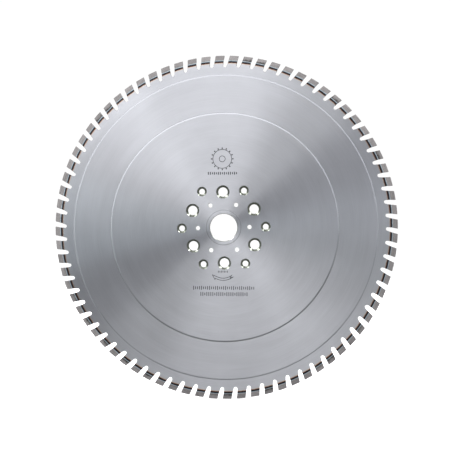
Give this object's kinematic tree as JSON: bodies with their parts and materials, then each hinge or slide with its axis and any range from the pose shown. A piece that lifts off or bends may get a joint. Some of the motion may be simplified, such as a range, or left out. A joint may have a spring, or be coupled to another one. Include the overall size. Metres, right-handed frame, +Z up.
{
  "type": "diamond blade",
  "caption": "Segmented diamond saw blade: steel core disc with arbor bore, countersunk fixing holes and leaning gullets, and diamond segments laser-welded round the rim.",
  "frame": {"origin": "centre of the arbor bore, half way through the core's thickness", "axes": "+Y along the spindle axis, from the marked and countersunk front face to the back; +Z up as the blade hangs; the working direction of rotation is positive about +Y, clockwise as seen from the front"},
  "size_m": [0.75, 0.0054, 0.75],
  "materials": {
    "core_steel": "ground with circular brushing, satin",
    "weld_steel": "dark heat-tinted laser weld bead",
    "base_alloy": "sintered metal, ground flush, bluish heat tint",
    "diamond_layer": "matt sintered metal with diamond grit, ground radially"
  },
  "bodies": {
    "root": {"steel_core": "core_steel", "laser_welds_01_04": "weld_steel", "laser_welds_05_08": "weld_steel", "laser_welds_09_12": "weld_steel", "laser_welds_13_16": "weld_steel", "laser_welds_17_20": "weld_steel", "laser_welds_21_24": "weld_steel", "laser_welds_25_28": "weld_steel", "laser_welds_29_32": "weld_steel", "laser_welds_33_36": "weld_steel", "laser_welds_37_40": "weld_steel", "laser_welds_41_44": "weld_steel", "laser_welds_45_48": "weld_steel", "laser_welds_49_52": "weld_steel", "laser_welds_53_56": "weld_steel", "laser_welds_57_60": "weld_steel", "laser_welds_61_64": "weld_steel", "laser_welds_65_68": "weld_steel", "laser_welds_69_72": "weld_steel", "laser_welds_73_76": "weld_steel", "segment_bases_01_04": "base_alloy", "segment_bases_05_08": "base_alloy", "segment_bases_09_12": "base_alloy", "segment_bases_13_16": "base_alloy", "segment_bases_17_20": "base_alloy", "segment_bases_21_24": "base_alloy", "segment_bases_25_28": "base_alloy", "segment_bases_29_32": "base_alloy", "segment_bases_33_36": "base_alloy", "segment_bases_37_40": "base_alloy", "segment_bases_41_44": "base_alloy", "segment_bases_45_48": "base_alloy", "segment_bases_49_52": "base_alloy", "segment_bases_53_56": "base_alloy", "segment_bases_57_60": "base_alloy", "segment_bases_61_64": "base_alloy", "segment_bases_65_68": "base_alloy", "segment_bases_69_72": "base_alloy", "segment_bases_73_76": "base_alloy", "diamond_segments_01_04": "diamond_layer", "diamond_segments_05_08": "diamond_layer", "diamond_segments_09_12": "diamond_layer", "diamond_segments_13_16": "diamond_layer", "diamond_segments_17_20": "diamond_layer", "diamond_segments_21_24": "diamond_layer", "diamond_segments_25_28": "diamond_layer", "diamond_segments_29_32": "diamond_layer", "diamond_segments_33_36": "diamond_layer", "diamond_segments_37_40": "diamond_layer", "diamond_segments_41_44": "diamond_layer", "diamond_segments_45_48": "diamond_layer", "diamond_segments_49_52": "diamond_layer", "diamond_segments_53_56": "diamond_layer", "diamond_segments_57_60": "diamond_layer", "diamond_segments_61_64": "diamond_layer", "diamond_segments_65_68": "diamond_layer", "diamond_segments_69_72": "diamond_layer", "diamond_segments_73_76": "diamond_layer"}
  },
  "joints": []
}
